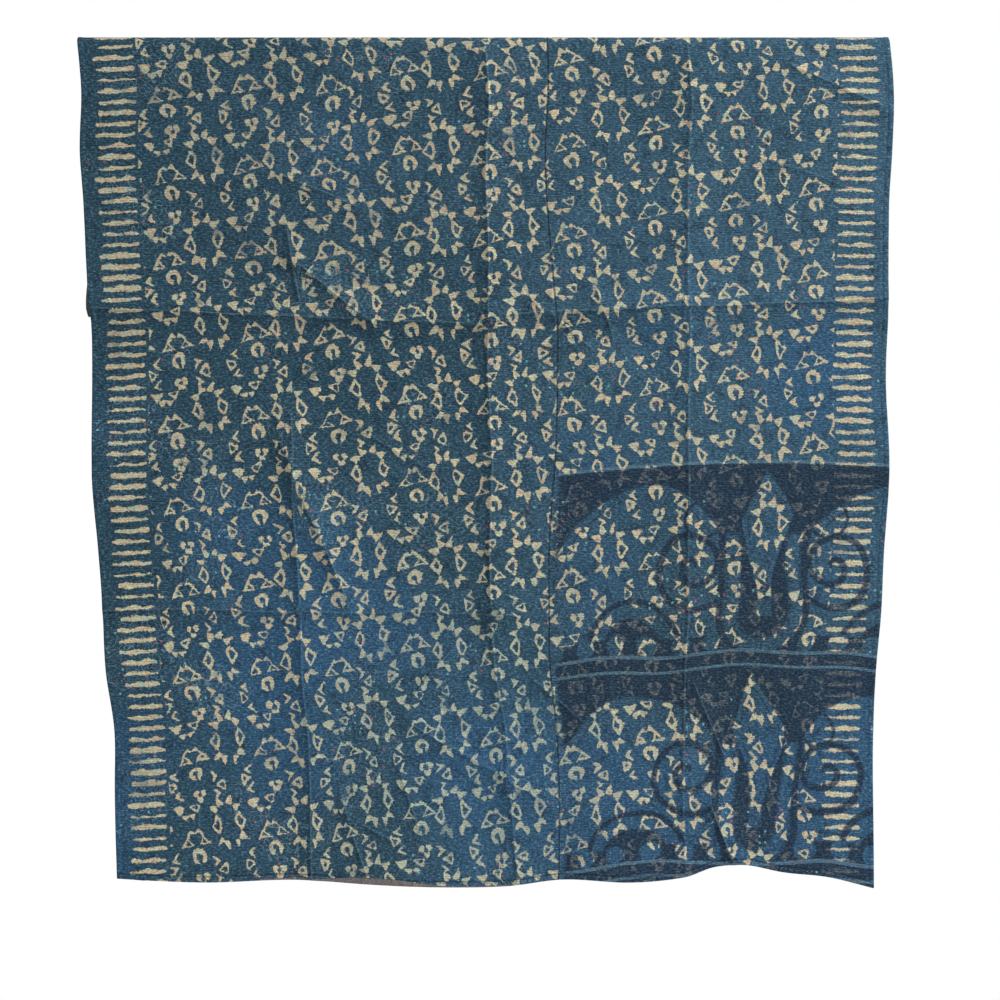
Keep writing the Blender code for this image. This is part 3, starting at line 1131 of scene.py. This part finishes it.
def print_group(groups):
    """Mask of the newer print, with ragged hand-stamped edges, and how full of ink its block was."""
    tree, (cloth, u, v, panel, drift_u, drift_v), results = new_group(
        "stamped_print",
        [("Cloth", VECTOR), ("U", FLOAT), ("V", FLOAT), ("Panel", FLOAT), ("Drift U", FLOAT),
         ("Drift V", FLOAT)],
        [("Mask", FLOAT), ("Chance", FLOAT)],
    )
    hand_u, hand_v = noise_at(tree, cloth, HAND_SLIP)[1].parts()
    rag_u, rag_v = noise_at(tree, cloth, RAGGED_EDGE)[1].parts()
    print_u = slipped(u, (drift_u, PRINT_WANDER_U), (hand_u, PRINT_SLIP), (rag_u, PRINT_RAGGED))
    print_v = slipped(v, (drift_v, PRINT_WANDER_V), (hand_v, PRINT_SLIP), (rag_v, PRINT_RAGGED))
    layout = groups["layout"]
    x, y, chance = use_group(tree, layout, print_u, print_v, panel, *COLUMN_WINDOW)
    flower_place = use_group(tree, layout, print_u, print_v, panel, *FLOWER_WINDOW)[:2]
    distance = use_group(tree, groups["column"], x, y)
    distance = distance.least(use_group(tree, groups["flower"], *flower_place))
    distance = distance.most(abs(u - FIELD_MIDDLE) - FIELD_HALF)
    bar_v = slipped(v, (hand_v, BAR_SLIP), (rag_v, PRINT_RAGGED))
    distance = distance.least(use_group(tree, groups["bars"], u, bar_v, hand_u))
    pressed = line(hand_v, rag_u, 2.0, 2.0, -1.0)
    spread = chance.times_plus(-0.8, pressed)
    feed(tree, results["Mask"], (distance + spread).rise(0.8, -0.7))
    feed(tree, results["Chance"], chance)
    return tree


SPECKS_PER_METRE = 100.0


def marks_group():
    """Thin pale outlines of an older flower print, and a few bright specks."""
    tree, (cloth, u), results = new_group(
        "faint_marks",
        [("Cloth", VECTOR), ("U", FLOAT)],
        [("Scribble", FLOAT), ("Speck", FLOAT), ("Chance", FLOAT)],
    )
    winding = noise_at(tree, cloth, WINDING_LINES)[0]
    stroke = abs((winding * 8.0).fract() - 0.5).rise(0.085, 0.02)
    patch = noise_at(tree, cloth, MARKED_PATCHES)[0]
    feed(tree, results["Scribble"], stroke * patch.rise(0.54, 0.66) * u.times_plus(-0.0006, 1.0))
    cells = tree.nodes.new("ShaderNodeTexVoronoi")
    cells.voronoi_dimensions = "2D"
    cells.inputs["Scale"].default_value = SPECKS_PER_METRE
    feed(tree, cells.inputs["Vector"], cloth)
    distance = Term(tree, cells.outputs["Distance"])
    chance, other = Term(tree, cells.outputs["Color"]).parts()
    speck = distance.rise(0.26, 0.12) * chance.above(0.92) * patch.rise(0.56, 0.64)
    feed(tree, results["Speck"], speck)
    feed(tree, results["Chance"], other)
    return tree


def new_material(name, roughness, sheen):
    """A material with its shader, ready for its base colour and normal."""
    material = bpy.data.materials.new(name)
    material.use_nodes = True
    tree = material.node_tree
    shader = tree.nodes["Principled BSDF"]
    shader.inputs["Roughness"].default_value = roughness
    shader.inputs["Sheen Weight"].default_value = sheen
    shader.inputs["Sheen Roughness"].default_value = 0.5
    shader.inputs["Specular IOR Level"].default_value = 0.15
    return material, tree, shader


def cloth_measure(tree, name):
    """One of the cloth's own measures, from its UV map."""
    node = tree.nodes.new("ShaderNodeUVMap")
    node.uv_map = name
    return Term(tree, node.outputs["UV"])


def in_millimetres(measure):
    """Both parts of a measure in metres."""
    first, second = measure.parts()
    return first * MM, second * MM


def surface_bump(tree, shader, height, distance):
    """Bump on a shader from a height."""
    bump = tree.nodes.new("ShaderNodeBump")
    bump.inputs["Strength"].default_value = 1.0
    bump.inputs["Distance"].default_value = distance
    feed(tree, bump.inputs["Height"], height)
    tree.links.new(bump.outputs["Normal"], shader.inputs["Normal"])


# Finishes of the printed face, in millimetres of cloth
QUILT_DEPTH = 0.0011
HEM_FOLD = 8.5
FOLD_WANDER = 8.0
THIN_INK_U = 610.0
THIN_INK_V = -1190.0
FADED_INK_U = 330.0
FADED_INK_V = -210.0
PEEP_MIDDLE = 478.0
PEEP_HALF = 222.0
PEEP_DEPTH = 5.0
PEEP_WANDER = 16.0


def fold_marks(tree, wobble):
    """Mask of the worn line along each crease, and height of its sharp ridge."""
    aside, strength = cloth_measure(tree, "creases").parts()
    from_fold = slipped(aside * MM, (wobble, FOLD_WANDER))
    worn = abs(from_fold).rise(1.8, 0.3) * strength
    ridge = from_fold.rise(-8.0, 0.5) * from_fold.rise(3.5, -0.5) * strength
    return worn, ridge


def ink_colour(tree, cloth, thin, resist):
    """Off-white ink, pinker or paler in places, and dim where the older print resisted it."""
    tone = noise_at(tree, cloth, INK_TONES)[0]
    ink = tint(tree, tone.rise(0.52, 0.72) * 0.6, INK, INK_PINK)
    ink = tint(tree, tone.rise(0.44, 0.26) * 0.7, ink, INK_PALE)
    ink = tint(tree, thin * 0.55, ink, INK_PALE)
    return tint(tree, resist * 0.9, ink, INK_DIM)


def printed_face(groups):
    """The printed indigo face."""
    material, tree, shader = new_material("printed_indigo_face", 0.9, 0.0)
    cloth = cloth_measure(tree, "cloth")
    u, v = in_millimetres(cloth)
    from_edge, from_hem = in_millimetres(cloth_measure(tree, "edges"))
    wobble_u, wobble_v = noise_at(tree, cloth, WANDER)[1].parts()
    stitch_height, thread, furrow = use_group(tree, groups["stitches"], u, v, wobble_u)
    grain, slubs = use_group(tree, groups["weave"], u, v)
    worn_fold, ridge = fold_marks(tree, wobble_v)
    from_seam = past_seam(u, v)
    dark, resist, outline, pale, edge, old_panel = use_group(
        tree, groups["old print"], u, v, wobble_u, wobble_v
    )
    scribble, speck, chance = use_group(tree, groups["marks"], cloth, u)
    mask, ink_chance = use_group(
        tree, groups["print"], cloth, u, v, from_seam.above(0.0), wobble_u, wobble_v
    )
    colour = use_group(tree, groups["dye"], cloth)
    colour = tint(tree, edge * 0.35, colour, WORN_PALE)
    colour = tint(tree, (dark * 0.88).most(outline * 0.6).most(old_panel * 0.14), colour, OLD_GROUND)
    colour = tint(tree, (scribble * 0.62).most(worn_fold * 0.22).most(pale * 0.27), colour, WORN_PALE)
    # Pale fuzz along the grain: lint of the weave, and painted sheen in place of the shader's sheen, less on
    # the old dark print
    colour = tint(tree, grain.rise(0.44, 0.80) * dark.times_plus(-0.18, 0.36), colour, LINT_AND_SHEEN)
    thin = length_of(u - THIN_INK_U, v - THIN_INK_V).rise(400.0, 120.0)
    worn = noise_at(tree, cloth, INK_WEAR)[0].rise(0.20, 0.46)
    faded = length_of(u - FADED_INK_U, v - FADED_INK_V).rise(420.0, 100.0)
    full = line(worn, thin, 0.45, -0.18, 0.55) - ink_chance.times_plus(0.15, faded * 0.14)
    net = grain.rise(0.40, 0.60).times_plus(0.55, 0.2)
    ink = ink_colour(tree, cloth, thin, resist)
    colour = tint(tree, mask * blend(tree, resist, full, net), colour, ink)
    colour = tint(tree, speck * 0.6, colour, tint(tree, chance.above(0.45), SPECK_PINK, SPECK_AQUA))
    # Painted shade: the sunk seam and hem lines are darkened in colour as well as pressed in by the bump
    sewn_hem = abs(from_hem - HEM_FOLD).rise(2.0, 0.6)
    sewn_sides = abs(from_edge - HEM_FOLD).rise(1.6, 0.6) * 0.12
    sunk = abs(from_seam).rise(2.6, 0.8).most(sewn_hem.most(sewn_sides))
    colour = tint(tree, sunk * 0.5, colour, DYE_DARK_AND_SHADE)
    slack = abs(u - PEEP_MIDDLE) - PEEP_HALF
    peeping = slipped(from_hem - PEEP_DEPTH, (wobble_v, PEEP_WANDER)).rise(0.6, -0.6) * slack.rise(8.0, -4.0)
    colour = tint(tree, peeping * 0.9, colour, BACKING_BROWN)
    # Painted shade darkens the furrows between the stitch rows and the thread is a little lighter; the grain
    # lightens and darkens the weave at random
    shade = line(furrow, thread, -0.05, 0.06, 1.0) + grain.times_plus(1.6, -0.8)
    tree.links.new(shaded(tree, colour, shade.most(0.3)).socket, shader.inputs["Base Color"])
    surface_bump(tree, shader, line(slubs, ridge, 0.8, 2.4, stitch_height) - sunk * 1.2, QUILT_DEPTH)
    return material


def plain_backing(groups):
    """The unprinted backing, brown-grey over thin indigo, with the same rows of stitch."""
    material, tree, shader = new_material("plain_backing", 0.92, 0.06)
    cloth = cloth_measure(tree, "cloth")
    u, v = in_millimetres(cloth)
    drift = noise_at(tree, cloth, WANDER)[0]
    stitch_height, thread, furrow = use_group(tree, groups["stitches"], u, v + 1.7, drift)
    grain, slubs = use_group(tree, groups["weave"], u, v)
    blotch = noise_at(tree, cloth, BACKING_PATCHES)[0].rise(0.25, 0.80)
    colour = tint(tree, blotch, BACKING_GREY, BACKING_BROWN)
    # Painted shade darkens the furrows between the stitch rows and the thread is lighter; the grain lightens
    # and darkens the weave at random
    shade = line(furrow, thread, -0.16, 0.25, 1.0) + grain.times_plus(2.0, -1.0)
    tree.links.new(shaded(tree, colour, shade.most(0.3)).socket, shader.inputs["Base Color"])
    surface_bump(tree, shader, stitch_height + slubs * 0.8, QUILT_DEPTH)
    return material


def make_groups():
    """All node groups that the cloth's materials share."""
    shapes = {shape: shape_group(shape) for shape in SHAPES}
    groups = {
        "column": column_group(shapes),
        "flower": flower_group(shapes),
        "layout": layout_group(first_ring_group()),
        "bars": bars_group(),
        "old print": old_print_group(),
        "stitches": stitch_group(),
        "weave": weave_group(),
        "dye": dye_and_light_group(),
        "marks": marks_group(),
    }
    groups["print"] = print_group(groups)
    return groups


# Sewing thread along the hems and seams, and loose ends

def stitches_tree():
    """Geometry nodes that lay a running stitch along each line of a mesh."""
    tree = bpy.data.node_groups.new("running_stitch_along_lines", "GeometryNodeTree")
    tree.interface.new_socket("Lines", in_out="INPUT", socket_type=GEOMETRY)
    for title in ("Pitch", "Stitch", "Thread", "Slip"):
        tree.interface.new_socket(title, in_out="INPUT", socket_type=FLOAT)
    tree.interface.new_socket("Material", in_out="INPUT", socket_type="NodeSocketMaterial")
    tree.interface.new_socket("Stitches", in_out="OUTPUT", socket_type=GEOMETRY)
    given = tree.nodes.new("NodeGroupInput").outputs
    result = tree.nodes.new("NodeGroupOutput").inputs

    def add(kind, **links):
        node = tree.nodes.new(kind)
        for title, socket in links.items():
            tree.links.new(socket, node.inputs[title.replace("_", " ")])
        return node

    curve = add("GeometryNodeMeshToCurve", Mesh=given["Lines"]).outputs["Curve"]
    spaced = add("GeometryNodeResampleCurve", Curve=curve)
    spaced.mode = "LENGTH"
    tree.links.new(given["Pitch"], spaced.inputs["Length"])
    slip = add("ShaderNodeCombineXYZ", X=given["Slip"], Z=given["Slip"])
    opposite = add("ShaderNodeVectorMath")
    opposite.operation = "SCALE"
    opposite.inputs["Scale"].default_value = -1.0
    tree.links.new(slip.outputs["Vector"], opposite.inputs[0])
    chance = add("FunctionNodeRandomValue")
    chance.data_type = "FLOAT_VECTOR"
    tree.links.new(opposite.outputs["Vector"], chance.inputs["Min"])
    tree.links.new(slip.outputs["Vector"], chance.inputs["Max"])
    chance.inputs["Seed"].default_value = STITCH_SEED
    placed = add("GeometryNodeSetPosition", Geometry=spaced.outputs["Curve"],
                 Offset=chance.outputs["Value"])
    ball = add("GeometryNodeMeshUVSphere")
    ball.inputs["Segments"].default_value = 6
    ball.inputs["Rings"].default_value = 4
    half = add("ShaderNodeMath", Value=given["Stitch"])
    half.operation = "MULTIPLY"
    half.inputs[1].default_value = 0.5
    size = add("ShaderNodeCombineXYZ", X=given["Thread"], Y=given["Thread"], Z=half.outputs["Value"])
    stitch = add("GeometryNodeTransform", Geometry=ball.outputs["Mesh"], Scale=size.outputs["Vector"])
    along = add("GeometryNodeInputTangent").outputs["Tangent"]
    turned = add("FunctionNodeAlignRotationToVector", Vector=along)
    turned.axis = "Z"
    laid = add("GeometryNodeInstanceOnPoints", Points=placed.outputs["Geometry"],
               Instance=stitch.outputs["Geometry"], Rotation=turned.outputs["Rotation"])
    solid = add("GeometryNodeRealizeInstances", Geometry=laid.outputs["Instances"])
    dyed = add("GeometryNodeSetMaterial", Geometry=solid.outputs["Geometry"],
               Material=given["Material"])
    tree.links.new(dyed.outputs["Geometry"], result["Stitches"])
    return tree


def thread_material(name, pale, dark):
    """Cotton thread that took the dye unevenly."""
    material, tree, shader = new_material(name, 0.85, 0.1)
    coordinates = tree.nodes.new("ShaderNodeTexCoord")
    place = Term(tree, coordinates.outputs["Object"])
    patchy = tree.nodes.new("ShaderNodeTexNoise")
    patchy.inputs["Scale"].default_value = 90.0
    feed(tree, patchy.inputs["Vector"], place)
    dye = Term(tree, patchy.outputs[0]).rise(0.35, 0.65)
    tree.links.new(tint(tree, dye, pale, dark).socket, shader.inputs["Base Color"])
    twist = tree.nodes.new("ShaderNodeTexWave")
    twist.bands_direction = "DIAGONAL"
    twist.inputs["Scale"].default_value = 900.0
    feed(tree, twist.inputs["Vector"], place)
    surface_bump(tree, shader, Term(tree, twist.outputs["Fac"]), 0.0001)
    return material


def lines_mesh(lines):
    """A mesh whose edges are several runs of points."""
    points = [tuple(point) for run in lines for point in run]
    edges = []
    first = 0
    for run in lines:
        edges += [(first + k, first + k + 1) for k in range(len(run) - 1)]
        first += len(run)
    mesh = bpy.data.meshes.new("stitch_lines")
    mesh.from_pydata(points, edges, [])
    return mesh


def one_piece(holder, name, material):
    """The evaluated shape of an object as one plain smooth mesh of one material, in the object's place."""
    bpy.context.view_layer.update()
    mesh = bpy.data.meshes.new_from_object(holder.evaluated_get(bpy.context.evaluated_depsgraph_get()))
    bpy.data.objects.remove(holder)
    mesh.materials.clear()
    mesh.materials.append(material)
    mesh.polygons.foreach_set("material_index", [0] * len(mesh.polygons))
    mesh.shade_smooth()
    piece = bpy.data.objects.new(name, mesh)
    bpy.context.scene.collection.objects.link(piece)
    return piece


def sew(name, lines, tree, sizes, material):
    """Stitches along lines, as one plain mesh."""
    guide = bpy.data.objects.new("stitch_lines", lines_mesh(lines))
    bpy.context.scene.collection.objects.link(guide)
    modifier = guide.modifiers.new("stitches", "NODES")
    modifier.node_group = tree
    values = dict(sizes, Material=material)
    for socket in tree.interface.items_tree:
        if socket.name in values:
            modifier[socket.identifier] = values[socket.name]
    guide.update_tag()
    return one_piece(guide, name, material)


def hem_lines(points, normals):
    """Runs along the front and the back hem, where the turned edge is sewn down."""
    surface = points + normals * (0.5 * HEM_EXTRA + THREAD_LIFT)
    inner = slice(HEM_SEWN, -HEM_SEWN)
    return [surface[HEM_SEWN, inner], surface[-1 - HEM_SEWN, inner]]


def seam_line(points, normals, across, runs):
    """A run down the front beside the seam between the panels."""
    stitched = []
    for i in range(len(runs)):
        v = runs[i].mean()
        u = (SEAM_U + SEAM_SWAY * math.sin(v * MM * SEAM_SWAY_RATE) + SEAM_SEWN) / MM
        j = int(np.searchsorted(across, u)) - 1
        share = (u - across[j]) / (across[j + 1] - across[j])
        surface = points[i, j:j + 2] + normals[i, j:j + 2] * THREAD_LIFT
        stitched.append(surface[0] + (surface[1] - surface[0]) * share)
    return stitched[HEM_SEWN:-HEM_SEWN]


def nearest_grid_place(points, normals, x, z):
    """The grid's point and facing nearest to a place on the front drop."""
    front = points[..., 1] < 0.0
    off = np.where(front, np.hypot(points[..., 0] - x, points[..., 2] - z), np.inf)
    i, j = np.unravel_index(np.argmin(off), off.shape)
    return Vector(points[i, j]), Vector(normals[i, j])


def loose_end(name, start, facing, bends, material):
    """A cut end of thread that stands off the cloth, as a fine round tube."""
    curve = bpy.data.curves.new(name, "CURVE")
    curve.dimensions = "3D"
    curve.bevel_depth = LOOSE_THREAD
    curve.bevel_resolution = 2
    curve.use_fill_caps = True
    spline = curve.splines.new("NURBS")
    spline.points.add(len(bends))
    spline.use_endpoint_u = True
    spline.order_u = 4
    for point, (side, off, down) in zip(spline.points, ((0.0, -THREAD_LIFT, 0.0),) + bends):
        place = start + facing * off + Vector((side, 0.0, -down))
        point.co = (place.x, place.y, place.z, 1.0)
    holder = bpy.data.objects.new("loose_thread", curve)
    bpy.context.scene.collection.objects.link(holder)
    return one_piece(holder, name, material)


# Stage, light and camera
VIEW_WIDTH = 1.665
VIEW_X = 0.0283
VIEW_Z = -0.7696
CAMERA_DISTANCE = 4.6
FLOOR_DROP = 1.90
FLOOR_RADIUS = 1.5
FLOOR_SIDES = 96
ROOM_LIGHT = 0.45
Lamp = namedtuple("Lamp", "name place size power")
LAMPS = (
    Lamp("soft_key", (6.0, -3.1, 3.4), 1.6, 1100.0),
    Lamp("soft_fill", (-2.2, -2.6, -0.2), 2.2, 10.0),
    Lamp("soft_back", (-3.4, 4.2, 1.2), 2.4, 230.0),
)


def make_stage():
    """Plain pale floor well below the hem."""
    mesh = bpy.data.meshes.new("studio_floor")
    ring = []
    for side in range(FLOOR_SIDES):
        angle = 2 * math.pi * side / FLOOR_SIDES
        ring.append((FLOOR_RADIUS * math.cos(angle), FLOOR_RADIUS * math.sin(angle), -FLOOR_DROP))
    mesh.from_pydata(ring, [], [tuple(range(FLOOR_SIDES))])
    floor = bpy.data.objects.new("studio_floor", mesh)
    bpy.context.scene.collection.objects.link(floor)
    material, tree, shader = new_material("pale_floor", 0.8, 0.0)
    shader.inputs["Base Color"].default_value = (0.95, 0.95, 0.95, 1.0)
    floor.data.materials.append(material)


def make_lights():
    """White surroundings and three soft lamps: the strongest far off to the upper right, one behind."""
    world = bpy.data.worlds.new("studio_white")
    world.use_nodes = True
    tree = world.node_tree
    background = tree.nodes["Background"]
    background.inputs["Color"].default_value = (1.0, 1.0, 1.0, 1.0)
    seen = Term(tree, tree.nodes.new("ShaderNodeLightPath").outputs["Is Camera Ray"])
    feed(tree, background.inputs["Strength"], seen.times_plus(1.0 - ROOM_LIGHT, ROOM_LIGHT))
    bpy.context.scene.world = world
    aim = Vector((0.0, 0.0, VIEW_Z))
    for lamp in LAMPS:
        light = bpy.data.lights.new(lamp.name, "AREA")
        light.shape = "DISK"
        light.size = lamp.size
        light.energy = lamp.power
        holder = bpy.data.objects.new(lamp.name, light)
        holder.location = lamp.place
        holder.rotation_euler = (aim - Vector(lamp.place)).to_track_quat("-Z", "Y").to_euler()
        bpy.context.scene.collection.objects.link(holder)


def make_camera():
    """Square on to the front drop, as far off as a product photographer stands."""
    lens = bpy.data.cameras.new("front_view")
    lens.sensor_width = 36.0
    lens.lens = lens.sensor_width * CAMERA_DISTANCE / VIEW_WIDTH
    camera = bpy.data.objects.new("front_view", lens)
    camera.location = (VIEW_X, -FACE_RADIUS - CAMERA_DISTANCE, VIEW_Z)
    camera.rotation_euler = (math.pi / 2, 0.0, 0.0)
    bpy.context.scene.collection.objects.link(camera)
    bpy.context.scene.camera = camera


# Building the throw
make_stage()
make_lights()
make_camera()
bpy.context.scene.view_settings.view_transform = "Standard"

groups = make_groups()
points, across, runs = sheet_grid()
normals = facings(points)
cloth = make_cloth(points, normals, across, runs)
cloth.data.materials.append(printed_face(groups))
cloth.data.materials.append(plain_backing(groups))
sewing = stitches_tree()
dyed_thread = thread_material("dyed_sewing_thread", THREAD_PALE, THREAD_DARK)
pale_thread = thread_material("pale_loose_thread", LOOSE_PALE, LOOSE_DARK)
pieces = [
    sew("hem_stitches", hem_lines(points, normals), sewing, HEM_STITCH, dyed_thread),
    sew("seam_stitches", [seam_line(points, normals, across, runs)], sewing, SEAM_STITCH, dyed_thread),
]
for number, end in enumerate(LOOSE_ENDS, 1):
    start, facing = nearest_grid_place(points, normals, end.x, end.z)
    pieces.append(loose_end(f"loose_thread_end_{number}", start, facing, end.bends, pale_thread))
for piece in pieces:
    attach(piece, "root")
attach(cloth, "root")
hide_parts("throw")
